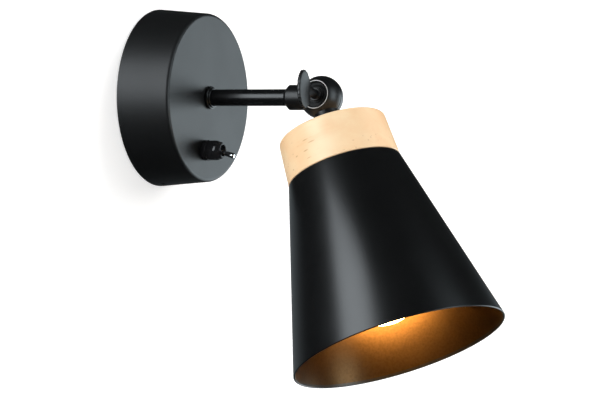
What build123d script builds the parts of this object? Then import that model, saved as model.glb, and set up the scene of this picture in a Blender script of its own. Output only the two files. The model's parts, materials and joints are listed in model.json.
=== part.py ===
from build123d import *
from math import atan2, cos, pi, radians, sin, sqrt
import os

# Bedside wall reading lamp, in millimetres.
# Origin: centre of the canopy's back, on the wall. X runs along the wall, +Z up and -Y out of the wall.

# --- canopy: the drafted steel cup against the wall ---
canopy_back_d = 120.0
canopy_face_d = 113.4
canopy_depth = 37.0
canopy_sheet = 1.2
canopy_edge_r = 2.4

# --- mounting bracket: a bent strip screwed to the wall, with a tab at each end ---
bracket_width = 22.0
bracket_sheet = 1.6
bracket_bend_r = 1.4
bracket_tab_width = 14.0
bracket_tab_reach = 13.0
bracket_tab_gap = 0.4
cable_hole_d = 11.0
wall_slot_spacing = 70.0
wall_slot_length = 16.0
wall_slot_width = 5.0

# --- set screws that hold the canopy on the bracket's tabs ---
canopy_screw_d = 4.0
canopy_screw_length = 6.5
canopy_screw_out = 7.5
canopy_screw_sink = 0.4
canopy_screw_socket = 2.0
canopy_screw_socket_depth = 2.0

# --- wiring pieces on the bracket ---
terminal_poles = 2
terminal_pitch = 8.5
terminal_length = 15.0
terminal_base_height = 5.0
terminal_tower_height = 11.0
terminal_tower_length = 8.0
terminal_wire_d = 3.2
terminal_web_gap = 1.2
terminal_screw_d = 2.8
terminal_screw_length = 3.6
terminal_screw_spacing = 4.4
terminal_drive_width = 0.6
terminal_drive_depth = 0.6
terminal_rise = 16.5
terminal_fix_screw_d = 2.0
earth_drop = 16.5
earth_screw_d = 4.0
earth_head_d = 7.4
earth_head_height = 2.4
earth_screw_length = 5.0
earth_drive_width = 1.0
earth_washer_side = 9.0
earth_washer_thick = 1.0

# --- arm ---
arm_length = 121.0
arm_tube_d = 11.2
arm_tube_wall = 1.0
arm_tube_entry = 8.0
arm_collar_d = 15.4
arm_collar_height = 3.4
arm_collar_step_d = 13.6
arm_collar_step_height = 1.3
arm_collar_seat_depth = 1.8
arm_collar_edge = 0.5
arm_nipple_inside = 10.0
arm_nipple_outside = 15.0

# --- threaded nipples, nuts and washers of the M10 size ---
nipple_d = 9.2
nipple_bore_d = 7.0
nipple_hole_d = 10.4
nut_flats = 14.0
nut_height = 3.4
toothed_washer_d = 18.0
toothed_washer_thick = 0.9
toothed_washer_teeth = 12
tooth_depth = 1.8
thread_clear = 0.05

# --- knuckle: a ball split in two halves on the hinge axis ---
ball_d = 28.6
ball_flat_at = 10.5
ball_wall = 2.6
ball_seam = 0.3
ball_edge = 0.3
ball_bore_d = 7.2
knuckle_neck_d = 16.8
knuckle_neck_length = 25.8
knuckle_neck_chamfer = 3.0
knuckle_neck_clear = 0.4
knuckle_recess_d = 18.2
knuckle_recess_depth = 2.8
knuckle_floor = 1.8
knuckle_ring_d = 14.0
knuckle_ring_height = 0.5
knuckle_boss_d = 13.2
hinge_spigot_d = 9.6
hinge_spigot_length = 3.0
hinge_clear = 0.06

# --- thumb-screw that clamps the knuckle ---
screw_d = 5.0
screw_hole_clear = 0.35
screw_end_gap = 0.8
screw_thread_run = 6.4
washer_d = 10.6
washer_thick = 1.0
shoulder_d = 8.4
shoulder_length = 1.3
stem_d = 6.0
paddle_at = 26.6
paddle_height = 25.0
paddle_width = 16.4
paddle_thick = 2.2
paddle_edge_r = 0.7
paddle_root_height = 9.0
paddle_turn = 7.0

# --- wooden cap and shade ---
head_tilt = 23.5
head_neck_length = 23.8
wood_top_d = 72.0
wood_bottom_d = 76.0
wood_height = 30.0
wood_top_wall = 8.0
wood_recess_d = 54.0
wood_edge_r = 2.4
wood_foot_r = 0.8
shade_mouth_d = 140.8
shade_height = 124.2
shade_sheet = 1.0
shade_edge_r = 1.2
shade_hem_height = 2.4
shade_hem_thick = 0.9
head_washer_d = 24.0
head_washer_thick = 1.2
head_nipple_entry = 7.0
head_nipple_end = 42.0

# --- lampholder and bulb of the E27 size ---
holder_body_d = 38.6
holder_hole_gap = 0.5
holder_flange_d = 46.0
holder_flange_thick = 1.8
holder_length = 34.0
holder_bore_d = 28.0
holder_mouth_d = 31.0
holder_mouth_depth = 5.0
holder_floor_rise = 2.4
holder_cap_boss_d = 16.0
holder_cap_boss_height = 4.0
holder_cap_wall = 1.6
holder_cap_gap = 1.2
holder_edge = 0.8
shade_ring_d = 50.0
shade_ring_height = 6.0
shade_ring_grips = 8
shade_ring_grip_d = 7.0
thread_shell_wall = 0.4
thread_shell_height = 18.0
bulb_cap_d = 26.2
bulb_cap_height = 22.0
bulb_cap_edge = 1.0
bulb_insulator_height = 3.0
bulb_contact_d = 9.0
bulb_contact_height = 1.2
bulb_neck_d = 27.2
bulb_globe_d = 60.0
bulb_length = 103.0
bulb_neck_rise = 4.0
bulb_glass_wall = 1.0
contact_spring_width = 7.0
contact_spring_thick = 0.6
contact_spring_gap = 1.0

# --- toggle switch ---
switch_drop = 36.0
bushing_d = 12.0
bushing_bore_d = 7.2
bushing_reach = 10.6
lever_pin_d = 1.2
lever_pin_length = 11.0
lever_pin_clear = 0.05
panel_hole_clear = 0.15
switch_body_width = 14.0
switch_body_height = 20.0
switch_body_depth = 15.0
switch_body_gap = 3.0
switch_body_edge_r = 1.0
switch_nut_flats = 15.0
switch_nut_height = 2.0
switch_lug_width = 4.0
switch_lug_thick = 0.8
switch_lug_length = 6.0
switch_lug_spacing = 9.0
switch_lug_hole_d = 2.0
switch_lug_hole_at = 3.9
switch_flange_d = 13.8
switch_flange_height = 3.8
switch_flange_edge = 0.5
dress_nut_d = 13.3
dress_nut_length = 10.2
dress_nut_straight = 4.6
dress_nut_tip_d = 9.6
dress_nut_mouth_d = 8.0
dress_nut_lip = 2.0
lever_tilt = 15.8
lever_pivot_depth = 5.0
lever_ball_d = 6.6
lever_root_d = 2.8
lever_tip_d = 3.8
lever_tip_edge = 0.6
lever_reach = 9.2
lever_tail_length = 5.0
lever_tail_d = 2.4

# --- frames: each piece is drawn along its own +Z and then placed ---
# OUT: +Z leaves the wall along the arm, and +Y is up.
OUT = Rot(90, 0, 0)
# KNUCKLE_ARM: the hinge centre, with +Z back along the arm.
# KNUCKLE_HEAD: the same centre, with +Z down the head.
HINGE = Pos(0, -arm_length, 0)
KNUCKLE_ARM = HINGE * Rot(-90, 0, 0)
KNUCKLE_HEAD = HINGE * Rot(180 - head_tilt, 0, 0)
SWITCH = OUT * Pos(0, -switch_drop, canopy_depth)

# --- distances along the head's axis from the hinge centre ---
wood_top_at = head_neck_length
wood_bottom_at = wood_top_at + wood_height
shade_top_at = wood_bottom_at
shade_disc_under_at = shade_top_at + shade_sheet
mouth_at = shade_top_at + shade_height
wood_wall_under_at = wood_top_at + wood_top_wall
head_nut_at = wood_wall_under_at + head_washer_thick
holder_cap_top_at = head_nut_at + nut_height + holder_cap_gap
holder_flange_top_at = shade_top_at - holder_flange_thick
holder_end_at = shade_top_at + holder_length
bulb_contact_at = shade_top_at + holder_floor_rise + contact_spring_thick * 2
bulb_cap_top_at = bulb_contact_at + bulb_contact_height + bulb_insulator_height
bulb_cap_end_at = bulb_cap_top_at + bulb_cap_height
bulb_tip_at = bulb_contact_at + bulb_length

# --- height of the lever's pivot above the canopy's face ---
lever_pivot_at = switch_flange_height + dress_nut_length - lever_pivot_depth


def turned(*points):
    """A solid of revolution about Z, from (radius, height) points of its closed section."""
    section = Polyline(*[(radius, 0, height) for radius, height in points], close=True)
    return revolve(make_face(section), Axis.Z)


def tube(outer_d, inner_d, low, high):
    """A straight tube or ring about Z between two heights."""
    outer, inner = outer_d / 2, inner_d / 2
    return turned((inner, low), (outer, low), (outer, high), (inner, high))


def rod(diameter, low, high):
    """A straight round rod about Z between two heights."""
    return Pos(0, 0, low) * Cylinder(diameter / 2, high - low, align=(Align.CENTER, Align.CENTER, Align.MIN))


def thread_bore(screw_size, low, high):
    """The round room that a screw's thread fills, about Z between two heights."""
    return rod(screw_size + 2 * thread_clear, low, high)


def hex_nut(flats, thread_d, low, high):
    """A hexagon nut about Z, its corners taken off on both faces."""
    blank = extrude(Pos(0, 0, low) * RegularPolygon(flats / 2, 6, major_radius=False), high - low)
    round_r = flats / sqrt(3)
    drop = round_r - flats / 2
    corners = turned((0, low), (flats / 2, low), (round_r, low + drop / 2), (round_r, high - drop / 2),
                     (flats / 2, high), (0, high))
    return (blank & corners) - thread_bore(thread_d, low, high)


def rim_edges(solid, diameter, height):
    """The round edges of a turned solid that have this diameter and height."""
    return [edge for edge in solid.edges().filter_by(GeomType.CIRCLE)
            if abs(edge.radius - diameter / 2) < 0.01 and abs(edge.arc_center.Z - height) < 0.01]


def canopy_radius(out, inset=0.0):
    """The canopy's drafted outer radius at a distance from the wall, less an inset."""
    draft = (canopy_back_d - canopy_face_d) / 2 / canopy_depth
    return canopy_back_d / 2 - draft * out - inset


# ---------------------------------------------------------------- canopy

def canopy_shell():
    inside_depth = canopy_depth - canopy_sheet
    face_r = canopy_radius(canopy_depth)
    outer = turned((0, 0), (canopy_radius(0), 0), (face_r, canopy_depth), (0, canopy_depth))
    outer = fillet(rim_edges(outer, canopy_face_d, canopy_depth), canopy_edge_r)
    inner_back_r = canopy_radius(0, canopy_sheet)
    inner_face_r = canopy_radius(inside_depth, canopy_sheet)
    inner = turned((0, 0), (inner_back_r, 0), (inner_face_r, inside_depth), (0, inside_depth))
    inner = chamfer(rim_edges(inner, 2 * inner_face_r, inside_depth), canopy_edge_r - canopy_sheet)
    nipple_hole = rod(nipple_hole_d, 0, canopy_depth)
    switch_hole = Pos(0, -switch_drop, 0) * rod(bushing_d + 2 * panel_hole_clear, 0, canopy_depth)
    screw_holes = canopy_screw_places() * rod(canopy_screw_d + 2 * panel_hole_clear, 0, canopy_back_d)
    return OUT * (outer - inner - nipple_hole - switch_hole - screw_holes)


def canopy_screw_places():
    """One place for each set screw, +Z pointing outwards from the canopy's axis."""
    return [Pos(0, 0, canopy_screw_out) * Rot(angle, 0, 0) for angle in (-90, 90)]


def bracket_half_length():
    """Half the bracket's length: its tabs stand just inside the canopy's wall."""
    wall_r = canopy_radius(bracket_tab_reach, canopy_sheet)
    return sqrt(wall_r ** 2 - (bracket_tab_width / 2) ** 2) - bracket_tab_gap


def wall_bracket():
    half = bracket_half_length()
    low = (Align.CENTER, Align.CENTER, Align.MIN)
    outer = Box(bracket_width, 2 * half, bracket_tab_reach, align=low)
    inner = Box(bracket_width, 2 * (half - bracket_sheet), bracket_tab_reach, align=low)
    strip = outer - Pos(0, 0, bracket_sheet) * inner
    along = strip.edges().filter_by(Axis.X)
    outer_bends = [edge for edge in along if abs(edge.center().Z) < 0.01]
    strip = fillet(outer_bends, bracket_bend_r + bracket_sheet)
    inner_bends = [edge for edge in strip.edges().filter_by(Axis.X)
                   if abs(edge.center().Z - bracket_sheet) < 0.01 and abs(edge.center().Y) > half / 2]
    strip = fillet(inner_bends, bracket_bend_r)
    shoulder = (bracket_width - bracket_tab_width) / 2
    shoulder_cut = Box(shoulder, 4 * bracket_sheet + 2 * bracket_bend_r, 4 * bracket_tab_reach)
    for side in (-1, 1):
        for end in (-1, 1):
            place = Pos(side * (bracket_width - shoulder) / 2, end * half, bracket_sheet)
            strip = strip - place * shoulder_cut
    tab_ends = strip.edges().filter_by(Axis.Y).group_by(Axis.Z)[-1]
    strip = chamfer(tab_ends, bracket_tab_width / 5)
    slot = SlotOverall(wall_slot_length, wall_slot_width, rotation=90)
    for end in (-1, 1):
        strip = strip - extrude(Pos(0, end * wall_slot_spacing / 2, 0) * slot, bracket_sheet)
    strip = strip - rod(cable_hole_d, 0, bracket_sheet)
    strip = strip - Pos(0, -earth_drop, 0) * thread_bore(earth_screw_d, 0, bracket_sheet)
    strip = strip - Pos(0, terminal_rise, 0) * thread_bore(terminal_fix_screw_d, 0, bracket_sheet)
    return OUT * (strip - canopy_screw_places() * thread_bore(canopy_screw_d, 0, canopy_back_d))


def canopy_screws():
    outer_end = canopy_radius(canopy_screw_out) - canopy_screw_sink
    screw = rod(canopy_screw_d, outer_end - canopy_screw_length, outer_end)
    screw = chamfer(rim_edges(screw, canopy_screw_d, outer_end - canopy_screw_length), canopy_screw_d / 8)
    key = RegularPolygon(canopy_screw_socket / 2, 6, major_radius=False)
    key = Pos(0, 0, outer_end - canopy_screw_socket_depth) * key
    screw = screw - extrude(key, canopy_screw_socket_depth)
    return OUT * Compound(children=[place * screw for place in canopy_screw_places()])


# ---------------------------------------------------------------- wiring pieces on the bracket

def terminal_places():
    """One place for each clamp screw, at the foot of the terminal block."""
    first = -(terminal_poles - 1) / 2 * terminal_pitch
    centres = [first + index * terminal_pitch for index in range(terminal_poles)]
    return [Pos(x, terminal_rise + end * terminal_screw_spacing / 2, bracket_sheet)
            for x in centres for end in (-1, 1)]


def terminal_block():
    low = (Align.CENTER, Align.CENTER, Align.MIN)
    width = terminal_poles * terminal_pitch
    block = Box(width, terminal_length, terminal_base_height, align=low)
    block = block + Box(width, terminal_tower_length, terminal_tower_height, align=low)
    notch_depth = terminal_tower_height - terminal_base_height
    gap = Box(terminal_web_gap, terminal_length, notch_depth, align=low)
    for index in range(1, terminal_poles):
        across = (index - terminal_poles / 2) * terminal_pitch
        block = block - Pos(across, 0, terminal_tower_height - notch_depth / 2) * gap
    block = Pos(0, terminal_rise, bracket_sheet) * block
    for place in terminal_places():
        block = block - place * thread_bore(terminal_screw_d, terminal_base_height, terminal_tower_height)
    wire_height = bracket_sheet + terminal_base_height / 2
    for index in range(terminal_poles):
        across = (index - (terminal_poles - 1) / 2) * terminal_pitch
        wire = Pos(across, terminal_rise + terminal_length / 2, wire_height) * Rot(90, 0, 0)
        block = block - wire * rod(terminal_wire_d, 0, terminal_length)
    return OUT * (block - Pos(0, terminal_rise, 0) * thread_bore(terminal_fix_screw_d, 0, canopy_depth))


def terminal_screws():
    top = terminal_base_height + terminal_screw_length
    drive = Pos(0, 0, top) * Box(terminal_screw_d, terminal_drive_width, 2 * terminal_drive_depth)
    screw = rod(terminal_screw_d, terminal_base_height, top) - drive
    return OUT * Compound(children=[place * screw for place in terminal_places()])


def terminal_fix_screw():
    head_at = bracket_sheet + terminal_tower_height
    shank = rod(terminal_fix_screw_d, 0, head_at)
    head = rod(2 * terminal_fix_screw_d, head_at, head_at + terminal_fix_screw_d / 2)
    return OUT * Pos(0, terminal_rise, 0) * (shank + head)


def earth_washer():
    plate = Box(earth_washer_side, earth_washer_side, earth_washer_thick)
    hole = Cylinder(earth_screw_d / 2 + panel_hole_clear, earth_washer_thick)
    return OUT * Pos(0, -earth_drop, bracket_sheet + earth_washer_thick / 2) * (plate - hole)


def earth_screw():
    head_at = bracket_sheet + earth_washer_thick
    shank = rod(earth_screw_d, head_at - earth_screw_length / 2, head_at)
    head = rod(earth_head_d, head_at, head_at + earth_head_height)
    head = chamfer(rim_edges(head, earth_head_d, head_at + earth_head_height), earth_head_height / 3)
    drive = Pos(0, 0, head_at + earth_head_height) * Box(earth_head_d, earth_drive_width, earth_head_height)
    return OUT * Pos(0, -earth_drop, 0) * (shank + head - drive)


# ---------------------------------------------------------------- arm

def arm_toothed_washer():
    face_at = canopy_depth - canopy_sheet
    washer = tube(toothed_washer_d, nipple_hole_d, face_at - toothed_washer_thick, face_at)
    notch = Pos(toothed_washer_d / 2, 0, face_at - toothed_washer_thick / 2)
    notch = notch * Box(2 * tooth_depth, tooth_depth, 2 * toothed_washer_thick)
    for index in range(toothed_washer_teeth):
        washer = washer - Rot(0, 0, index * 360 / toothed_washer_teeth) * notch
    return OUT * washer


def arm_lock_nut():
    top = canopy_depth - canopy_sheet - toothed_washer_thick
    return OUT * hex_nut(nut_flats, nipple_d, top - nut_height, top)


def arm_nipple():
    low, high = canopy_depth - arm_nipple_inside, canopy_depth + arm_nipple_outside
    return OUT * tube(nipple_d, nipple_bore_d, low, high)


def arm_collar():
    top = canopy_depth + arm_collar_height
    step = canopy_depth + arm_collar_height - arm_collar_step_height
    outer, upper = arm_collar_d / 2, arm_collar_step_d / 2
    seat, bore = arm_tube_d / 2 + thread_clear, nipple_d / 2 + thread_clear
    seat_at = top - arm_collar_seat_depth
    ring = turned((bore, canopy_depth), (outer, canopy_depth), (outer, step), (upper, step), (upper, top),
                  (seat, top), (seat, seat_at), (bore, seat_at))
    ring = chamfer(rim_edges(ring, arm_collar_d, step), arm_collar_edge)
    return OUT * chamfer(rim_edges(ring, arm_collar_step_d, top), arm_collar_edge)


def arm_tube():
    base = canopy_depth + arm_collar_height - arm_collar_seat_depth
    end = arm_length - knuckle_neck_length + arm_tube_entry
    return OUT * tube(arm_tube_d, arm_tube_d - 2 * arm_tube_wall, base, end)


# ---------------------------------------------------------------- knuckle

def ball_slice(radius, low, high):
    """The slice of a ball about Z between two heights."""
    low_r, high_r = sqrt(radius ** 2 - low ** 2), sqrt(radius ** 2 - high ** 2)
    middle = (low + high) / 2
    side = ThreePointArc((low_r, 0, low), (sqrt(radius ** 2 - middle ** 2), 0, middle), (high_r, 0, high))
    rest = Polyline((high_r, 0, high), (0, 0, high), (0, 0, low), (low_r, 0, low))
    return revolve(make_face([side, rest]), Axis.Z)


def knuckle_half(side, neck_length, socket_d, socket_depth):
    """One half of the split ball, with its whole neck along +Z and the hinge axis along X.

    side is +1 for the half on the +X side of the seam, or -1 for its mirror image on the other."""
    own_side = {1: Rot(0, 90, 0), -1: Rot(0, -90, 0) * Rot(0, 0, 180)}
    seam = ball_seam / 2
    neck_r = knuckle_neck_d / 2
    inner_floor = ball_flat_at - knuckle_recess_depth - knuckle_floor
    ball = ball_slice(ball_d / 2, seam, ball_flat_at)
    for height in (seam, ball_flat_at):
        ball = chamfer(rim_edges(ball, 2 * sqrt((ball_d / 2) ** 2 - height ** 2), height), ball_edge)
    ball = own_side[side] * ball
    neck = turned((0, 0), (neck_r, 0), (neck_r, neck_length - knuckle_neck_chamfer),
                  (neck_r - knuckle_neck_chamfer, neck_length), (0, neck_length))
    room_r = ball_d / 2 + knuckle_neck_clear
    room_for_other = own_side[-side] * ball_slice(room_r, -seam, neck_r + knuckle_neck_clear)
    hollow = ball_slice(ball_d / 2 - ball_wall, 0, inner_floor) - rod(knuckle_boss_d, 0, inner_floor)
    wire_bore = rod(ball_bore_d, (knuckle_boss_d + ball_wall) / 2, neck_length)
    socket = thread_bore(socket_d, neck_length - socket_depth, neck_length)
    return (ball + neck) - room_for_other - own_side[side] * hollow - wire_bore - socket


def along_hinge(diameter, low, high):
    """A round rod on the hinge axis, from low to high along X."""
    return Rot(0, 90, 0) * rod(diameter, low, high)


def knuckle_arm_half():
    """The fixed half: it carries the hinge's spigot and the thumb-screw's blind thread."""
    half = knuckle_half(1, knuckle_neck_length, arm_tube_d, arm_tube_entry)
    half = half + along_hinge(hinge_spigot_d, -hinge_spigot_length, ball_seam)
    recess = along_hinge(knuckle_recess_d, ball_flat_at - knuckle_ring_height, ball_flat_at)
    half = half - (recess - along_hinge(knuckle_ring_d, 0, ball_flat_at))
    thread_end = screw_thread_run + screw_end_gap
    return KNUCKLE_ARM * (half - along_hinge(screw_d + 2 * thread_clear, -hinge_spigot_length, thread_end))


def knuckle_head_half():
    """The moving half: it turns on the spigot, and the thumb-screw's washer presses on its recess floor."""
    half = knuckle_half(-1, head_neck_length, nipple_d, head_nipple_entry)
    floor_at = -(ball_flat_at - knuckle_recess_depth)
    half = half - along_hinge(knuckle_recess_d, -ball_flat_at, floor_at)
    half = half + along_hinge(knuckle_ring_d, floor_at - knuckle_ring_height, floor_at)
    spigot_end = -(hinge_spigot_length + ball_seam)
    half = half - along_hinge(hinge_spigot_d + 2 * hinge_clear, spigot_end, 0)
    return KNUCKLE_HEAD * (half - along_hinge(screw_d + 2 * screw_hole_clear, -ball_flat_at, 0))


washer_seat_at = ball_flat_at - knuckle_recess_depth + knuckle_ring_height


def clamp_washer():
    low = -(washer_seat_at + washer_thick)
    ring = along_hinge(washer_d, low, -washer_seat_at)
    return HINGE * (ring - along_hinge(screw_d + 2 * panel_hole_clear, low, -washer_seat_at))


def thumb_screw():
    """A threaded shaft, a shoulder and a stem that flattens into an oval plate, a little off upright."""
    shoulder_at = -(washer_seat_at + washer_thick)
    stem_at = shoulder_at - shoulder_length
    plate_root = -(paddle_at - paddle_width / 2)
    shaft = along_hinge(screw_d, shoulder_at, screw_thread_run)
    shoulder = along_hinge(shoulder_d, stem_at, shoulder_at)
    throat_at = (stem_at + plate_root) / 2
    stem = along_hinge(stem_d, throat_at, stem_at)
    round_plane = Plane(origin=(throat_at, 0, 0), z_dir=(-1, 0, 0), x_dir=(0, 1, 0))
    flat_plane = Plane(origin=(plate_root - paddle_thick, 0, 0), z_dir=(-1, 0, 0), x_dir=(0, 1, 0))
    flat_end = flat_plane * Ellipse(paddle_thick / 2, paddle_root_height / 2)
    throat = loft([round_plane * Circle(stem_d / 2), flat_end])
    plate_plane = Plane(origin=(-paddle_at, paddle_thick / 2, 0), z_dir=(0, -1, 0), x_dir=(1, 0, 0))
    plate = extrude(plate_plane * Ellipse(paddle_width / 2, paddle_height / 2), paddle_thick)
    plate = fillet(plate.edges(), paddle_edge_r)
    return HINGE * Rot(-paddle_turn, 0, 0) * (shaft + shoulder + stem + throat + plate)


# ---------------------------------------------------------------- head

def head_nipple():
    low = head_neck_length - head_nipple_entry
    return KNUCKLE_HEAD * tube(nipple_d, nipple_bore_d, low, head_nipple_end)


def wood_cap():
    top_r, bottom_r = wood_top_d / 2, wood_bottom_d / 2
    bore_r, recess_r = nipple_hole_d / 2, wood_recess_d / 2
    cap = turned((bore_r, wood_top_at), (top_r, wood_top_at), (bottom_r, wood_bottom_at),
                 (recess_r, wood_bottom_at), (recess_r, wood_wall_under_at), (bore_r, wood_wall_under_at))
    cap = fillet(rim_edges(cap, wood_top_d, wood_top_at), wood_edge_r)
    return KNUCKLE_HEAD * fillet(rim_edges(cap, wood_bottom_d, wood_bottom_at), wood_foot_r)


def head_washer():
    return KNUCKLE_HEAD * tube(head_washer_d, nipple_hole_d, wood_wall_under_at, head_nut_at)


def head_nut():
    return KNUCKLE_HEAD * hex_nut(nut_flats, nipple_d, head_nut_at, head_nut_at + nut_height)


def shade():
    """The steel cone, its flat top plate held under the wood and its mouth hemmed inwards."""
    top_r, mouth_r = wood_bottom_d / 2, shade_mouth_d / 2
    slope = (mouth_r - top_r) / shade_height
    hole_r = holder_body_d / 2 + holder_hole_gap
    hem_at = mouth_at - shade_hem_height
    inner_top = top_r - shade_sheet + slope * shade_sheet
    inner_hem = mouth_r - shade_sheet - slope * shade_hem_height
    hem_r = inner_hem - shade_hem_thick
    cone = turned((hole_r, shade_top_at), (top_r, shade_top_at), (mouth_r, mouth_at),
                  (hem_r + slope * shade_hem_height, mouth_at), (hem_r, hem_at), (inner_hem, hem_at),
                  (inner_top, shade_disc_under_at), (hole_r, shade_disc_under_at))
    return KNUCKLE_HEAD * fillet(rim_edges(cone, wood_bottom_d, shade_top_at), shade_edge_r)


# ---------------------------------------------------------------- lampholder and bulb

def lampholder_cap():
    top, low = holder_cap_top_at, holder_flange_top_at
    boss_r, bore_r = holder_cap_boss_d / 2, nipple_d / 2 + thread_clear
    skirt_r = (holder_body_d + 2 * holder_cap_wall) / 2
    neck = top + holder_cap_boss_height
    shoulder = neck + (low - neck) / 3
    cap = turned((bore_r, top), (boss_r, top), (boss_r, neck), (skirt_r, shoulder), (skirt_r, low),
                 (skirt_r - holder_cap_wall, low), (skirt_r - holder_cap_wall, shoulder + holder_cap_wall),
                 (boss_r, neck + holder_cap_wall), (bore_r, neck + holder_cap_wall))
    return KNUCKLE_HEAD * cap


def lampholder_body():
    """The threaded porcelain sleeve: a flange above the shade's plate, and a floor under the bulb."""
    body_r, flange_r = holder_body_d / 2, holder_flange_d / 2
    bore_r, mouth_r = holder_bore_d / 2, holder_mouth_d / 2
    floor_at = shade_top_at + holder_floor_rise
    mouth_floor = holder_end_at - holder_mouth_depth
    body = turned((0, holder_flange_top_at), (flange_r, holder_flange_top_at), (flange_r, shade_top_at),
                  (body_r, shade_top_at), (body_r, holder_end_at), (mouth_r, holder_end_at),
                  (mouth_r, mouth_floor), (bore_r, mouth_floor), (bore_r, floor_at), (0, floor_at))
    return KNUCKLE_HEAD * chamfer(rim_edges(body, holder_body_d, holder_end_at), holder_edge)


def lampholder_thread_shell():
    outer = holder_bore_d - 2 * thread_clear
    end = holder_end_at - holder_mouth_depth
    return KNUCKLE_HEAD * tube(outer, outer - 2 * thread_shell_wall, end - thread_shell_height, end)


def lampholder_contact():
    """The springy brass strip that the bulb's foot presses on: a foot, a riser and a tongue."""
    floor_at = shade_top_at + holder_floor_rise
    reach = holder_bore_d / 2 - 2 * thread_shell_wall - contact_spring_gap
    low = (Align.CENTER, Align.CENTER, Align.MIN)
    foot = Pos(reach / 2, 0, floor_at) * Box(reach, contact_spring_width, contact_spring_thick, align=low)
    tongue_at = floor_at + contact_spring_thick
    tongue = Pos(0, 0, tongue_at) * Box(reach, contact_spring_width, contact_spring_thick, align=low)
    return KNUCKLE_HEAD * (foot + tongue)


def shade_ring():
    """The threaded ring under the shade's plate, with finger grips round its rim."""
    low, high = shade_disc_under_at, shade_disc_under_at + shade_ring_height
    ring = tube(shade_ring_d, holder_body_d + 2 * thread_clear, low, high)
    ring = chamfer(rim_edges(ring, shade_ring_d, high), holder_edge)
    grip = Pos(shade_ring_d / 2 + shade_ring_grip_d / 4, 0, 0) * rod(shade_ring_grip_d, low, high)
    for index in range(shade_ring_grips):
        ring = ring - Rot(0, 0, index * 360 / shade_ring_grips) * grip
    return KNUCKLE_HEAD * ring


def bulb_contact():
    return KNUCKLE_HEAD * rod(bulb_contact_d, bulb_contact_at, bulb_contact_at + bulb_contact_height)


def bulb_insulator():
    low, high = bulb_contact_at + bulb_contact_height, bulb_cap_top_at
    low_r, high_r = bulb_contact_d / 2 + bulb_cap_edge, bulb_cap_d / 2 - bulb_cap_edge
    return KNUCKLE_HEAD * turned((0, low), (low_r, low), (high_r, high), (0, high))


def bulb_cap():
    low, high = bulb_cap_top_at, bulb_cap_end_at
    outer = bulb_cap_d / 2
    inner = outer - thread_shell_wall
    edge_at = low + bulb_cap_edge
    cap = turned((0, low), (outer - bulb_cap_edge, low), (outer, edge_at), (outer, high),
                 (inner, high), (inner, edge_at), (0, edge_at))
    return KNUCKLE_HEAD * cap


def arc_about(x, z, radius, start, end):
    """An arc in the XZ plane about (x, z), between two angles counted from +Z towards +X."""
    angles = (start, (start + end) / 2, end)
    return ThreePointArc(*[(x + radius * sin(angle), 0, z + radius * cos(angle)) for angle in angles])


def bulb_outline(inset):
    """The bulb's neck, flare and globe as tangent lines, set in by the glass's thickness."""
    globe_r, neck_r = bulb_globe_d / 2, bulb_neck_d / 2
    globe_at = bulb_tip_at - globe_r
    flare_at = bulb_cap_end_at + bulb_neck_rise
    run = globe_at - flare_at
    flare_r = (neck_r ** 2 + run ** 2 - globe_r ** 2) / (2 * (globe_r - neck_r))
    flare_x = neck_r + flare_r
    meeting = atan2(flare_x, -run)
    neck = Line((neck_r - inset, 0, bulb_cap_end_at), (neck_r - inset, 0, flare_at))
    flare = arc_about(flare_x, flare_at, flare_r + inset, -pi / 2, meeting - pi)
    globe = arc_about(0, globe_at, globe_r - inset, meeting, 0)
    return [neck, flare, globe]


def bulb_glass():
    outer, inner = bulb_outline(0), bulb_outline(bulb_glass_wall)
    rim = Line(outer[0] @ 0, inner[0] @ 0)
    tip = Line(outer[-1] @ 1, inner[-1] @ 1)
    return KNUCKLE_HEAD * revolve(make_face(outer + inner + [rim, tip]), Axis.Z)


# ---------------------------------------------------------------- toggle switch

def switch_body():
    top = -canopy_sheet - switch_body_gap
    low = (Align.CENTER, Align.CENTER, Align.MAX)
    case = Pos(0, 0, top) * Box(switch_body_width, switch_body_height, switch_body_depth, align=low)
    return SWITCH * fillet(case.edges().filter_by(Axis.Z), switch_body_edge_r)


def switch_lugs():
    end = -canopy_sheet - switch_body_gap - switch_body_depth
    low = (Align.CENTER, Align.CENTER, Align.MAX)
    lug = Box(switch_lug_width, switch_lug_thick, switch_lug_length, align=low)
    hole = Rot(90, 0, 0) * Cylinder(switch_lug_hole_d / 2, 2 * switch_lug_thick)
    lug = lug - Pos(0, 0, -switch_lug_hole_at) * hole
    places = [Pos(0, side * switch_lug_spacing / 2, end) for side in (-1, 1)]
    return SWITCH * Compound(children=[place * lug for place in places])


def switch_bushing():
    low = -canopy_sheet - switch_body_gap
    barrel = tube(bushing_d, bushing_bore_d, low, bushing_reach)
    return SWITCH * (barrel - lever_pivot(lever_pin_d + 2 * thread_clear, bushing_d))


def lever_pivot(diameter, length):
    """A round rod on the lever's pivot line, seen from the switch."""
    return Pos(0, 0, lever_pivot_at) * along_hinge(diameter, -length / 2, length / 2)


def lever_pin():
    return SWITCH * lever_pivot(lever_pin_d, lever_pin_length)


def switch_inner_nut():
    high = -canopy_sheet
    return SWITCH * hex_nut(switch_nut_flats, bushing_d, high - switch_nut_height, high)


def switch_flange():
    ring = tube(switch_flange_d, bushing_d + 2 * thread_clear, 0, switch_flange_height)
    return SWITCH * chamfer(rim_edges(ring, switch_flange_d, switch_flange_height), switch_flange_edge)


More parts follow.
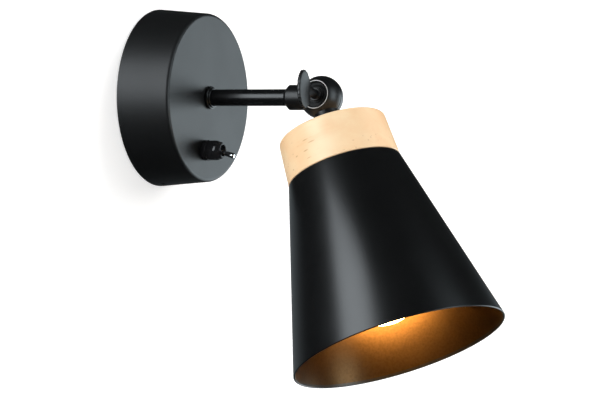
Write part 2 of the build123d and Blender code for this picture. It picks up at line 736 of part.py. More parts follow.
def switch_dress_nut():
    """The barrel nut: a straight side that rounds in to a small mouth about the lever."""
    base, tip = switch_flange_height, switch_flange_height + dress_nut_length
    side_r, tip_r = dress_nut_d / 2, dress_nut_tip_d / 2
    bore_r, mouth_r = bushing_d / 2 + thread_clear, dress_nut_mouth_d / 2
    bend_at = base + dress_nut_straight
    shoulder = TangentArc((side_r, 0, bend_at), (tip_r, 0, tip), tangent=(0, 0, 1))
    lip_at = tip - dress_nut_lip
    rest = Polyline((tip_r, 0, tip), (mouth_r, 0, tip), (mouth_r, 0, lip_at), (bore_r, 0, lip_at),
                    (bore_r, 0, base), (side_r, 0, base), (side_r, 0, bend_at))
    return SWITCH * revolve(make_face([shoulder, rest]), Axis.Z)


def toggle_lever():
    """The bat lever on its ball, resting at the lower end of its throw."""
    length = lever_pivot_depth / cos(radians(lever_tilt)) + lever_reach
    tip_r = lever_tip_d / 2
    bat = turned((0, 0), (lever_root_d / 2, 0), (tip_r, length - tip_r), (tip_r, length - lever_tip_edge),
                 (tip_r - lever_tip_edge, length), (0, length))
    tail = rod(lever_tail_d, -lever_tail_length, 0)
    lever = Pos(0, 0, lever_pivot_at) * Rot(lever_tilt, 0, 0) * (bat + tail + Sphere(lever_ball_d / 2))
    return SWITCH * (lever - lever_pivot(lever_pin_d + 2 * lever_pin_clear, lever_ball_d))


PIECES = [canopy_shell, wall_bracket, canopy_screws, terminal_block, terminal_screws, terminal_fix_screw,
          earth_washer, earth_screw, arm_toothed_washer, arm_lock_nut, arm_nipple, arm_collar, arm_tube,
          knuckle_arm_half, knuckle_head_half, clamp_washer, thumb_screw, head_nipple, wood_cap, head_washer,
          head_nut, shade, lampholder_cap, lampholder_body, lampholder_thread_shell, lampholder_contact,
          shade_ring, bulb_contact, bulb_insulator, bulb_cap, bulb_glass, switch_body, switch_lugs,
          switch_bushing, lever_pin, switch_inner_nut, switch_flange, switch_dress_nut, toggle_lever]

os.makedirs("parts", exist_ok=True)
for piece in PIECES:
    export_step(piece(), f"parts/{piece.__name__}.step")
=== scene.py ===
import json
from math import acos, atan, cos, degrees, radians, sin, sqrt

import bpy
from bpy.props import FloatProperty, FloatVectorProperty, IntProperty, PointerProperty
from mathutils import Matrix, Vector


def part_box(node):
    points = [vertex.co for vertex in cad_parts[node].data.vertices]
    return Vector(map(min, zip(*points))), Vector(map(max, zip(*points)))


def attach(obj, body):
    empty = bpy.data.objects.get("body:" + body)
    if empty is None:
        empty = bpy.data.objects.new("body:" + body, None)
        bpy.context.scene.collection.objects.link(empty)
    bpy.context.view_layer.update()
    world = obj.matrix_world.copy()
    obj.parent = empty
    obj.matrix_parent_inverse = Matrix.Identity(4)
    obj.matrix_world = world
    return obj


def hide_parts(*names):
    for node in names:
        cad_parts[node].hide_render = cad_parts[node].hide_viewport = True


bl_info = {
    "name": "Wall Reading Lamp",
    "version": (1, 0, 0),
    "blender": (4, 5, 0),
    "location": "View3D > Sidebar > Reading Lamp",
    "description": "Dresses the packed wall reading lamp with modelled pieces, finishes and a studio",
    "category": "Add Mesh",
}

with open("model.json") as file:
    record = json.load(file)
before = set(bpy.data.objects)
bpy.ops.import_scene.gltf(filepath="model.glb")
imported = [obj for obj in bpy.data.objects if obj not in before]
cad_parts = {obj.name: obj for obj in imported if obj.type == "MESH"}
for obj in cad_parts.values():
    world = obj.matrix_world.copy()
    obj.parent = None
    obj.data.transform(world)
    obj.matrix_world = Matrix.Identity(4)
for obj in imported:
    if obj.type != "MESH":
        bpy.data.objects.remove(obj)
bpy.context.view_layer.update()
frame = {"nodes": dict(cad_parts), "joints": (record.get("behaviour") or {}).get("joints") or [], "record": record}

MM = 0.001
POLE = 0.001 * MM  # radius of a ring that is merged to one point
MERGE = 0.01 * MM  # points nearer than this become one
CAD_MERGE = 0.001 * MM  # the same for the mesh of a CAD node
FLAT = radians(0.3)  # faces that meet at less than this become one


def mid(node):
    """The middle of a CAD node's box."""
    low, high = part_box(node)
    return (low + high) / 2


def span(node):
    """The size of a CAD node's box along X, Y and Z."""
    low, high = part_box(node)
    return high - low


# The frame's own places, each with +Z along the piece: the wall, the head, the thumb-screw and the switch.
JOINTS = {joint["name"]: joint for joint in frame["joints"]}
HINGE = Vector(JOINTS["head_tilt"]["pos_m"])
LEVER_PIVOT = Vector(JOINTS["lever_throw"]["pos_m"])
HEAD_AXIS = (mid("head_nipple") - HINGE).normalized()
HEAD_TURN = acos(HEAD_AXIS.z)
ON_WALL = Matrix.Rotation(radians(90), 4, "X")
ON_HEAD = Matrix.Translation(HINGE) @ Matrix.Rotation(HEAD_TURN, 4, "X")
ON_THUMB_SCREW = Matrix.Translation(HINGE) @ Matrix.Rotation(radians(-90), 4, "Y")
CANOPY_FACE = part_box("switch_flange")[1].y
ON_SWITCH = Matrix.Translation((LEVER_PIVOT.x, CANOPY_FACE, LEVER_PIVOT.z)) @ ON_WALL


def reach(node):
    """How far a node of the head begins and ends along the head's axis, from the hinge."""
    along = [(vertex.co - HINGE).dot(HEAD_AXIS) for vertex in frame["nodes"][node].data.vertices]
    return min(along), max(along)


def length(name, description, millimetres):
    """A length setting; Blender keeps it in metres."""
    return FloatProperty(name=name, description=description, unit="LENGTH", default=millimetres * MM)


# ---------------------------------------------------------------- settings

class LampFinishSettings(bpy.types.PropertyGroup):
    """The colours of the lamp's finishes."""

    powder_coat: FloatVectorProperty(
        name="Powder coat", description="Satin black coat of the canopy and the shade",
        subtype="COLOR", default=(0.0026, 0.0028, 0.0031))
    shade_inside: FloatVectorProperty(
        name="Shade inside", description="Dark bronze satin coat inside the shade",
        subtype="COLOR", default=(0.078, 0.046, 0.021))
    lacquer: FloatVectorProperty(
        name="Black lacquer", description="Glossy black of the arm, the knuckle and the thumb-screw",
        subtype="COLOR", default=(0.0035, 0.0036, 0.0040))
    wood_light: FloatVectorProperty(
        name="Wood, light", description="Early wood between the growth lines",
        subtype="COLOR", default=(0.97, 0.74, 0.465))
    wood_dark: FloatVectorProperty(
        name="Wood, dark", description="Late wood and the darker fibres",
        subtype="COLOR", default=(0.88, 0.52, 0.26))
    wood_fleck: FloatVectorProperty(
        name="Wood flecks", description="Short dark pores and rays",
        subtype="COLOR", default=(0.48, 0.24, 0.08))
    bulb_strength: FloatProperty(
        name="Bulb strength", description="How bright the lit bulb is", default=44.0, min=0.0)
    bulb_light: FloatVectorProperty(
        name="Bulb light", description="Warm white light of the bulb",
        subtype="COLOR", default=(1.0, 0.555, 0.165))


class LampShadeSettings(bpy.types.PropertyGroup):
    """The shade's sheet, its rounded top edge and its hem."""

    sheet: length("Sheet", "Thickness of the steel", 1.0)
    edge: length("Top edge", "Radius of the rounding under the wood", 1.2)
    hem_height: length("Hem height", "How far the thicker hem reaches up inside the mouth", 2.0)
    hem_thick: length("Hem thickness", "Thickness that the hem adds", 0.3)
    hole_radius: length("Hole radius", "Radius of the hole for the lampholder", 19.8)
    segments: IntProperty(name="Segments", description="Faces round the shade", default=160, min=16)


class LampThumbScrewSettings(bpy.types.PropertyGroup):
    """The cast thumb-screw, along its axis from the hinge's centre."""

    thread_radius: length("Thread radius", "Radius of the threaded shaft", 2.5)
    thread_end: length("Thread end", "How far the shaft reaches past the hinge's centre", 6.4)
    shoulder_radius: length("Shoulder radius", "Radius of the shoulder on the washer", 4.2)
    shoulder_at: length("Shoulder place", "Where the shoulder begins", 9.2)
    shoulder_end: length("Shoulder end", "Where the shoulder ends", 10.5)
    stem_radius: length("Stem radius", "Radius of the round stem", 3.0)
    stem_end: length("Stem end", "Where the stem begins to flatten", 14.0)
    stem_round: length("Round stem", "How far before that place the stem is still quite round", 1.5)
    tongue: length("Tongue", "How far the flattened stem runs on inside the plate", 6.4)
    corner: length("Corners", "Rounding of the shoulder's corners", 0.3)
    plate_at: length("Plate centre", "Where the oval plate has its middle", 26.6)
    plate_height: length("Plate height", "Longer size of the oval plate", 25.4)
    plate_width: length("Plate width", "Shorter size of the oval plate", 16.4)
    plate_thick: length("Plate thickness", "Thickness of the oval plate at its middle", 2.6)
    plate_rim: length("Plate rim", "Thickness of the oval plate at its rim", 2.3)
    plate_edge: length("Plate edge", "Rounding of the plate's rim", 0.8)
    turned_by: FloatProperty(
        name="Turned by", description="Turn of the plate from upright", subtype="ANGLE", default=radians(5))


class LampSwitchSettings(bpy.types.PropertyGroup):
    """The switch's barrel nut and its bat lever."""

    side_radius: length("Side radius", "Radius of the barrel's straight side", 6.65)
    shoulder_share: FloatProperty(
        name="Shoulder share", description="Share of the shoulder's curve that is drawn before the tip",
        default=0.96)
    base: length("Base", "Height of the barrel's foot above the canopy", 3.8)
    straight: length("Straight side", "Height of the barrel's straight side", 4.6)
    tip: length("Tip", "Height of the barrel's tip above the canopy", 14.0)
    tip_radius: length("Tip radius", "Radius of the lip at the barrel's tip", 4.8)
    tip_edge: length("Tip edge", "Outer rounding of the lip", 0.4)
    corner: length("Corners", "Rounding of the barrel's foot, its mouth and the lever's tail", 0.3)
    mouth_radius: length("Mouth radius", "Radius of the mouth round the lever", 4.0)
    lip: length("Lip", "Depth of the mouth's lip", 2.0)
    bore_radius: length("Bore radius", "Radius inside the barrel", 6.05)
    bat_root: length("Bat root", "Radius of the lever at its pivot ball", 1.4)
    bat_tip: length("Bat tip", "Radius of the lever near its end", 1.9)
    bat_length: length("Bat length", "Length of the lever from its pivot", 14.4)
    bat_nose: length("Bat nose", "Rounding of the lever's end", 1.2)
    bat_end: length("Bat end", "Length of the lever's end past its thickest place", 2.4)
    neck_length: length("Neck length", "Length of the lever's neck above its pivot ball", 2.0)
    waist_at: length("Waist place", "Where the neck is thinnest, above the ball", 0.8)
    waist_share: FloatProperty(
        name="Waist share", description="Share of the neck's radius at its thinnest", default=0.98)
    ball_radius: length("Ball radius", "Radius of the lever's pivot ball", 3.3)
    tail_radius: length("Tail radius", "Radius of the lever's tail", 1.2)
    tail_length: length("Tail length", "Length of the lever's tail", 5.0)
    rests_at: FloatProperty(
        name="Rests at", description="Tilt of the lever below straight out",
        subtype="ANGLE", default=radians(15.8))


class LampSoftEdgeSettings(bpy.types.PropertyGroup):
    """How much the edges of the plainer pieces are rounded."""

    cast: length("Cast edges", "Rounding of the knuckle's edges", 0.15)
    turned: length("Turned edges", "Rounding of the collar's edges", 0.4)
    moulded: length("Moulded edges", "Rounding of the moulded pieces' edges", 0.3)
    steps: IntProperty(name="Steps", description="Faces across one rounded edge", default=3, min=1)


class LampKnuckleSettings(bpy.types.PropertyGroup):
    """The lip round the recess of the knuckle's moving half."""

    recess_radius: length("Recess radius", "Radius of the recess for the thumb-screw's washer", 9.1)
    flat_at: length("Flat", "Distance of the ball's flat from the hinge's centre", 10.5)
    lip_width: length("Lip width", "Width of the lip round the recess", 0.36)
    lip_rise: length("Lip rise", "How far the lip stands above the flat", 0.08)


class LampStudioSettings(bpy.types.PropertyGroup):
    """The camera's place and the strength of the studio's lights."""

    azimuth: FloatProperty(
        name="Azimuth", description="Camera's turn round the lamp, from straight in front of the wall",
        subtype="ANGLE", default=radians(-63.12))
    elevation: FloatProperty(
        name="Elevation", description="Camera's height angle", subtype="ANGLE", default=radians(-8.07))
    roll: FloatProperty(
        name="Roll", description="Camera's turn about its own line of sight",
        subtype="ANGLE", default=radians(5.05))
    distance: FloatProperty(
        name="Distance", description="Camera's distance along its line of sight",
        unit="LENGTH", default=1.7)
    slide_right: FloatProperty(
        name="Slide right", description="Camera's shift to its right", unit="LENGTH", default=0.09393)
    slide_up: FloatProperty(
        name="Slide up", description="Camera's shift upwards", unit="LENGTH", default=-0.06945)
    lens: FloatProperty(
        name="Lens", description="Focal length in millimetres on a 36 mm sensor", default=149.87)
    key_power: FloatProperty(
        name="Key light", description="Power of the large soft light", unit="POWER", default=30.0)
    side_power: FloatProperty(
        name="Side light", description="Power of the strip that draws the shade's highlight",
        unit="POWER", default=17.0)
    world_level: FloatProperty(
        name="Room light", description="Level of the even light from all round", default=0.7, min=0.0)
    gloss_dark: FloatProperty(
        name="Reflected room", description="Level of the room in reflections, beside its bright areas",
        default=0.02, min=0.0)
    gloss_side: FloatProperty(
        name="Reflected side", description="Level of the bright side of the room in reflections",
        default=3.8, min=0.0)
    gloss_front: FloatProperty(
        name="Reflected front", description="Level of the bright strip in front of the wall in reflections",
        default=4.4, min=0.0)
    gloss_far: FloatProperty(
        name="Reflected far side", description="Level of the far side of the room in reflections",
        default=0.25, min=0.0)
    gloss_tint: FloatVectorProperty(
        name="Reflected tint", description="Colour of the room in reflections",
        subtype="COLOR", default=(0.82, 0.94, 1.0))
    backdrop: FloatVectorProperty(
        name="Backdrop", description="Colour of the wall and the floor",
        subtype="COLOR", default=(0.80, 0.80, 0.80))
    backdrop_glow: FloatProperty(
        name="Backdrop glow", description="How much the wall and the floor shine towards the camera",
        default=0.455, min=0.0)
    backdrop_size: FloatProperty(
        name="Backdrop size", description="Side of the wall and of the floor", unit="LENGTH", default=8.0)
    wall_gap: length("Wall gap", "Gap between the canopy's back and the wall", 0.5)
    floor_height: FloatProperty(
        name="Floor height", description="Height of the floor, from the arm", unit="LENGTH", default=-0.9)


# ---------------------------------------------------------------- modelling

def pick(piece):
    """Selects one piece alone."""
    bpy.ops.object.select_all(action="DESELECT")
    piece.select_set(True)
    bpy.context.view_layer.objects.active = piece


def close_edit():
    """Merges the seams and poles of the piece in edit mode, and turns its faces outwards."""
    bpy.ops.mesh.select_all(action="SELECT")
    bpy.ops.mesh.remove_doubles(threshold=MERGE)
    bpy.ops.mesh.normals_make_consistent(inside=False)
    bpy.ops.object.mode_set(mode="OBJECT")


def turn(name, profile, segments=64):
    """A piece about Z, drawn by extruding and resizing one ring of edges through the profile.

    A point of the profile is (radius, height), or (radius along X, radius along Y, height) for an oval."""
    rings = [point if len(point) == 3 else (point[0], *point) for point in profile]
    wide, deep, height = rings[0]
    bpy.ops.object.select_all(action="DESELECT")
    bpy.ops.mesh.primitive_circle_add(vertices=segments, radius=1.0, enter_editmode=True)
    bpy.ops.mesh.select_all(action="SELECT")
    bpy.ops.transform.resize(value=(wide, deep, 1), center_override=(0, 0, 0))
    bpy.ops.transform.translate(value=(0, 0, height))
    for next_wide, next_deep, next_height in rings[1:]:
        bpy.ops.mesh.extrude_region_move(TRANSFORM_OT_translate={"value": (0, 0, next_height - height)})
        bpy.ops.transform.resize(value=(next_wide / wide, next_deep / deep, 1), center_override=(0, 0, 0))
        wide, deep, height = next_wide, next_deep, next_height
    close_edit()
    piece = bpy.context.object
    piece.name = name
    return piece


def arc(radius, height, size, start, end, steps=6):
    """Profile points on an arc about (radius, height), with angles in degrees from outwards towards +Z."""
    angles = [radians(start + (end - start) * step / steps) for step in range(steps + 1)]
    return [(radius + size * cos(angle), height + size * sin(angle)) for angle in angles]


def joined(piece, *others):
    """One piece out of several."""
    pick(piece)
    for other in others:
        other.select_set(True)
    bpy.ops.object.join()
    return piece


def soft_copy(node, name, edge, angle=28):
    """A copy of a CAD node as one closed mesh, with its sharp edges rounded."""
    piece = bpy.data.objects.new(name, frame["nodes"][node].data.copy())
    bpy.context.scene.collection.objects.link(piece)
    pick(piece)
    bpy.ops.mesh.customdata_custom_splitnormals_clear()
    bpy.ops.object.mode_set(mode="EDIT")
    bpy.ops.mesh.select_mode(type="EDGE")
    bpy.ops.mesh.select_all(action="SELECT")
    bpy.ops.mesh.remove_doubles(threshold=CAD_MERGE)
    bpy.ops.mesh.dissolve_limited(angle_limit=FLAT)
    bpy.ops.mesh.select_all(action="DESELECT")
    bpy.ops.mesh.edges_select_sharp(sharpness=radians(angle))
    steps = bpy.context.scene.lamp_soft_edges.steps
    bpy.ops.mesh.bevel(offset=edge, segments=steps, affect="EDGES", clamp_overlap=True)
    bpy.ops.mesh.select_all(action="SELECT")
    bpy.ops.mesh.delete_loose(use_verts=True, use_edges=True, use_faces=False)
    close_edit()
    return piece


def hand_over(piece, place, body, slot, *nodes, smooth=32):
    """Puts a finished piece in its place and paints it; it rides on a body and stands for its CAD nodes."""
    piece.data.name = piece.name
    piece.matrix_world = place
    pick(piece)
    bpy.ops.object.transform_apply(location=True, rotation=True, scale=True)
    bpy.ops.object.shade_smooth_by_angle(angle=radians(smooth))
    if not piece.material_slots:
        paint(piece, finish(slot))
    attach(piece, body)
    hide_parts(*nodes)
    return piece


# ---------------------------------------------------------------- shader maths

class Signal:
    """One output socket of a material, so that its maths can be written as Python sums."""

    def __init__(self, finish, socket):
        self.finish = finish
        self.socket = socket

    def maths(self, operation, *values):
        return self.finish.node("ShaderNodeMath", {"operation": operation}, dict(enumerate(values)))

    def __add__(self, other):
        return self.maths("ADD", self, other)

    def __radd__(self, other):
        return self.maths("ADD", other, self)

    def __sub__(self, other):
        return self.maths("SUBTRACT", self, other)

    def __rsub__(self, other):
        return self.maths("SUBTRACT", other, self)

    def __mul__(self, other):
        return self.maths("MULTIPLY", self, other)

    def __rmul__(self, other):
        return self.maths("MULTIPLY", other, self)


class NodeTree:
    """A node tree that is filled by one method."""

    def __init__(self, tree):
        self.tree = tree

    def node(self, kind, settings=None, sockets=None, output=0):
        """Adds a node, makes its settings, then sets or links its sockets, and gives one output back."""
        made = self.tree.nodes.new(kind)
        for setting, value in (settings or {}).items():
            if setting == "stops":
                self.set_stops(made.color_ramp, value)
            else:
                setattr(made, setting, value)
        for socket, value in (sockets or {}).items():
            if isinstance(value, Signal):
                self.tree.links.new(value.socket, made.inputs[socket])
            else:
                made.inputs[socket].default_value = value
        return Signal(self, made.outputs[output])

    def set_stops(self, ramp, stops):
        while len(ramp.elements) < len(stops):
            ramp.elements.new(1.0)
        for element, (position, level) in zip(ramp.elements, stops):
            element.position = position
            element.color = (level, level, level, 1.0)

    def ramp(self, signal, *stops):
        """A grey ramp through (position, level) stops."""
        return self.node("ShaderNodeValToRGB", {"stops": stops}, {0: signal})

    def mix(self, factor, first, second):
        """A colour between two colours."""
        first, second = [c if isinstance(c, Signal) else (*c[:3], 1.0) for c in (first, second)]
        return self.node("ShaderNodeMix", {"data_type": "RGBA"}, {0: factor, 6: first, 7: second}, 2)

    def split(self, vector, axis):
        return self.node("ShaderNodeSeparateXYZ", {}, {0: vector}, axis)


class Finish(NodeTree):
    """A material being made: its constants sit on the shader, and patterns feed the sockets that vary."""

    def __init__(self, name, **constants):
        self.material = bpy.data.materials.new(name)
        self.material.use_nodes = True
        super().__init__(self.material.node_tree)
        self.shader = self.tree.nodes["Principled BSDF"]
        for socket, value in constants.items():
            self.shader.inputs[socket.replace("_", " ")].default_value = value

    def place(self, matrix=None, stretch=(1, 1, 1)):
        """Object coordinates, turned so that +Z lies along the piece, and stretched."""
        coords = self.node("ShaderNodeTexCoord", output="Object")
        if matrix is not None:
            back = matrix.inverted()
            coords = self.node("ShaderNodeMapping", {"vector_type": "POINT"},
                               {0: coords, 1: back.to_translation(), 2: back.to_euler()})
        if tuple(stretch) == (1, 1, 1):
            return coords
        return self.node("ShaderNodeMapping", {"vector_type": "POINT"}, {0: coords, 3: stretch})

    def noise(self, where, scale, detail=2.0, roughness=0.5, distortion=0.0):
        """Soft random values from 0 to 1; scale is in features per metre."""
        return self.node("ShaderNodeTexNoise", {}, {"Vector": where, "Scale": scale, "Detail": detail,
                                                    "Roughness": roughness, "Distortion": distortion})

    def tones(self, factor, colour, darker, lighter):
        """One colour that wanders between a darker and a lighter tone of itself."""
        dark, light = [[min(1.0, c * share) for c in colour] for share in (darker, lighter)]
        return self.mix(factor, dark, light)

    def feed(self, socket, signal):
        self.tree.links.new(signal.socket, self.shader.inputs[socket])

    def bump(self, height, distance, strength=1.0):
        """Small relief; distance is in metres."""
        self.feed("Normal", self.node("ShaderNodeBump", {}, {"Height": height, "Distance": distance,
                                                             "Strength": strength}, "Normal"))


# ---------------------------------------------------------------- finishes

def finish_settings():
    return bpy.context.scene.lamp_finishes


def powder_coat(name, roughness):
    colour = tuple(finish_settings().powder_coat)
    coat = Finish(name, Specular_IOR_Level=0.55)
    where = coat.place()
    peel = coat.noise(where, scale=700, detail=3)
    cloud = coat.noise(where, scale=35, detail=3)
    coat.feed("Base Color", coat.tones(cloud, colour, darker=0.8, lighter=1.25))
    coat.feed("Roughness", roughness - 0.04 + 0.08 * cloud + 0.04 * peel)
    coat.bump(peel, distance=0.04 * MM, strength=0.5)
    return coat.material


def bronze_inside():
    """The warm satin coat inside the shade."""
    colour = tuple(finish_settings().shade_inside)
    coat = Finish("dark_bronze_coat", Metallic=1.0)
    where = coat.place()
    peel = coat.noise(where, scale=650, detail=2)
    cloud = coat.noise(where, scale=30, detail=3)
    speck = coat.ramp(peel, (0.30, 0.0), (0.62, 1.0))
    coat.feed("Base Color", coat.tones(0.6 * speck + 0.4 * cloud, colour, darker=0.8, lighter=1.14))
    coat.feed("Roughness", 0.27 + 0.08 * cloud)
    coat.bump(peel, distance=0.1 * MM, strength=0.45)
    return coat.material


def black_lacquer(name, roughness):
    colour = tuple(finish_settings().lacquer)
    coat = Finish(name, Specular_IOR_Level=0.5)
    where = coat.place()
    cloud = coat.noise(where, scale=60, detail=3)
    peel = coat.noise(where, scale=420, detail=2)
    coat.feed("Base Color", coat.tones(cloud, colour, darker=0.7, lighter=1.4))
    coat.feed("Roughness", roughness + 0.09 * cloud)
    coat.bump(peel, distance=0.03 * MM, strength=0.35)
    return coat.material


def zinc_plate():
    plate = Finish("zinc_plate", Metallic=1.0)
    where = plate.place()
    cloud = plate.noise(where, scale=120, detail=4, roughness=0.6)
    grain = plate.noise(where, scale=1500, detail=2)
    plate.feed("Base Color", plate.mix(cloud, (0.50, 0.52, 0.54), (0.68, 0.69, 0.70)))
    plate.feed("Roughness", 0.28 + 0.16 * cloud + 0.08 * grain)
    plate.bump(grain, distance=0.02 * MM, strength=0.4)
    return plate.material


def turned_brass():
    brass = Finish("brass", Metallic=1.0)
    where = brass.place()
    tarnish = brass.noise(where, scale=90, detail=4, roughness=0.6)
    grain = brass.noise(where, scale=1400, detail=2)
    brass.feed("Base Color", brass.mix(tarnish, (0.80, 0.60, 0.27), (0.62, 0.43, 0.18)))
    brass.feed("Roughness", 0.22 + 0.2 * tarnish)
    brass.bump(grain, distance=0.02 * MM, strength=0.3)
    return brass.material


def moulded(name, colour, roughness, grain_scale=900, specular=0.5):
    plastic = Finish(name, Specular_IOR_Level=specular)
    where = plastic.place()
    cloud = plastic.noise(where, scale=80, detail=3)
    grain = plastic.noise(where, scale=grain_scale, detail=2)
    plastic.feed("Base Color", plastic.tones(cloud, colour, darker=0.88, lighter=1.08))
    plastic.feed("Roughness", roughness + 0.08 * cloud)
    plastic.bump(grain, distance=0.02 * MM, strength=0.3)
    return plastic.material


def chrome_plate():
    chrome = Finish("chrome_plate", Metallic=1.0)
    where = chrome.place()
    cloud = chrome.noise(where, scale=300, detail=3)
    chrome.feed("Base Color", chrome.mix(cloud, (0.78, 0.79, 0.81), (0.86, 0.87, 0.88)))
    chrome.feed("Roughness", 0.07 + 0.06 * cloud)
    return chrome.material


def cap_metal():
    metal = Finish("pressed_aluminium", Metallic=1.0)
    where = metal.place()
    cloud = metal.noise(where, scale=200, detail=3)
    metal.feed("Base Color", metal.mix(cloud, (0.66, 0.66, 0.66), (0.76, 0.76, 0.75)))
    metal.feed("Roughness", 0.3 + 0.15 * cloud)
    return metal.material


def frosted_bulb():
    settings = finish_settings()
    glass = Finish("frosted_bulb", Emission_Strength=settings.bulb_strength)
    where = glass.place()
    cloud = glass.noise(where, scale=60, detail=2)
    glow = tuple(settings.bulb_light)
    glass.feed("Base Color", glass.mix(cloud, (0.93, 0.90, 0.84), (0.97, 0.95, 0.90)))
    glass.feed("Roughness", 0.32 + 0.1 * cloud)
    glass.feed("Emission Color", glass.mix(cloud, glow, [c * 0.96 for c in glow]))
    return glass.material


def pale_hardwood():
    """Pale turned wood: faint growth lines, fine fibres, and a few clusters of short dark flecks."""
    settings = finish_settings()
    light, dark, fleck = [tuple(c) for c in (settings.wood_light, settings.wood_dark, settings.wood_fleck)]
    wood = Finish("pale_hardwood", Specular_IOR_Level=0.5, Coat_Roughness=0.3)
    where = wood.place(ON_HEAD)
    along_grain = wood.node("ShaderNodeMapping", {"vector_type": "POINT"},
                            {0: where, 2: (radians(12), radians(8), radians(35)), 3: (1.0, 0.12, 1.0)})
    rings = wood.noise(along_grain, scale=90, detail=4, roughness=0.55, distortion=0.6)
    fibres = wood.noise(along_grain, scale=900, detail=3, roughness=0.6)
    tone = wood.ramp(rings, (0.32, 0.0), (0.68, 1.0))
    board = wood.ramp(wood.noise(where, scale=32, detail=2), (0.35, 0.0), (0.65, 1.0))
    colour = wood.mix(0.35 * tone + 0.2 * fibres + 0.45 * board, light, dark)
    pores = wood.node("ShaderNodeTexVoronoi", {"feature": "F1"}, {"Vector": along_grain, "Scale": 420.0})
    clusters = wood.ramp(wood.noise(where, scale=55, detail=2), (0.50, 0.0), (0.60, 1.0))
    pore_mask = wood.ramp(pores, (0.10, 1.0), (0.26, 0.0)) * clusters
    wood.feed("Base Color", wood.mix(0.6 * pore_mask, colour, fleck))
    wood.feed("Roughness", 0.38 + 0.12 * fibres)
    wood.feed("Coat Weight", 0.6 - 0.2 * fibres)
    wood.bump(fibres - 0.6 * pore_mask, distance=0.05 * MM, strength=0.35)
    return wood.material


FINISHES = {
    "black_coat": lambda: powder_coat("black_powder_coat", roughness=0.46),
    "shade_coat": lambda: powder_coat("satin_black_enamel", roughness=0.28),
    "shade_inside": bronze_inside,
    "black_enamel": lambda: black_lacquer("gloss_black_lacquer", roughness=0.21),
    "cast_black": lambda: black_lacquer("satin_black_lacquer", roughness=0.32),
    "recess": lambda: moulded("rough_black_casting", (0.004, 0.004, 0.004), 0.42, 500, specular=0.2),
    "zinc_steel": zinc_plate,
    "brass": turned_brass,
    "beech": pale_hardwood,
    "porcelain": lambda: moulded("glazed_porcelain", (0.84, 0.83, 0.79), 0.10, 300, specular=0.6),
    "black_plastic": lambda: moulded("black_phenolic", (0.020, 0.020, 0.020), 0.30),
    "switch_trim": lambda: moulded("gloss_black_trim", (0.010, 0.010, 0.011), 0.14),
    "white_plastic": lambda: moulded("natural_polyamide", (0.82, 0.81, 0.77), 0.42),
    "chrome": chrome_plate,
    "bulb_glass": frosted_bulb,
    "bulb_metal": cap_metal,
    "bulb_insulator": lambda: moulded("vitrified_insulator", (0.05, 0.04, 0.05), 0.12),
}
MADE = {}


def finish(slot):
    """The finish of a material slot, made when it is first asked for."""
    if slot not in MADE:
        MADE[slot] = FINISHES[slot]()
    return MADE[slot]


def paint(piece, material):
    """Gives a piece, or a CAD node, one material all over."""
    if not piece.material_slots:
        piece.data.materials.append(material)
    for slot in piece.material_slots:
        slot.material = material


class LAMP_OT_finish_frame(bpy.types.Operator):
    """Gives every CAD node the finish of its material slot"""

    bl_idname = "lamp.finish_frame"
    bl_label = "Finish the frame"

    def execute(self, context):
        for part in frame["record"]["subparts"]:
            paint(frame["nodes"][part["node"]], finish(part["material_slot"]))
        return {"FINISHED"}


# ---------------------------------------------------------------- pieces

class LAMP_OT_shade(bpy.types.Operator):
    """Turns the shade from one section, with a rounded, thicker hem and a dark bronze inside"""

    bl_idname = "lamp.shade"
    bl_label = "Shade"

    def execute(self, context):
        shade = context.scene.lamp_shade
        top, mouth = reach("shade")
        top_r, mouth_r = span("wood_cap").x / 2, span("shade").x / 2
        slope = (mouth_r - top_r) / (mouth - top)
        lean = atan(slope)
        corner_r = top_r - shade.edge * (1 - sin(lean)) / cos(lean)
        hem_edge = (shade.sheet + shade.hem_thick) / 2
        hem_r = mouth_r - hem_edge / cos(lean)
        hem_top = mouth - shade.hem_height
        sheet_in = shade.sheet / cos(lean)
        profile = [(shade.hole_radius, top)]
        profile += arc(corner_r, top + shade.edge, shade.edge, -90, -degrees(lean))
        profile += arc(hem_r, mouth - hem_edge, hem_edge, 0, 180, 10)
        profile += [(mouth_r - slope * shade.hem_height - sheet_in, hem_top)]
        profile += [(top_r + slope * shade.sheet - sheet_in, top + shade.sheet)]
        profile += [(shade.hole_radius, top + shade.sheet), (shade.hole_radius, top)]
        piece = turn("shade_cone", profile, shade.segments)
        piece.data.materials.append(finish("shade_coat"))
        piece.data.materials.append(finish("shade_inside"))
        for face in piece.data.polygons:
            inwards = Vector((face.center.x, face.center.y, 0)).dot(face.normal) < 0
            under_plate = face.normal.z > 0.9 and face.center.z < top + 2 * shade.sheet
            face.material_index = 1 if under_plate or inwards and face.center.z < hem_top else 0
        hand_over(piece, ON_HEAD, "head", "black_coat", "shade")
        return {"FINISHED"}


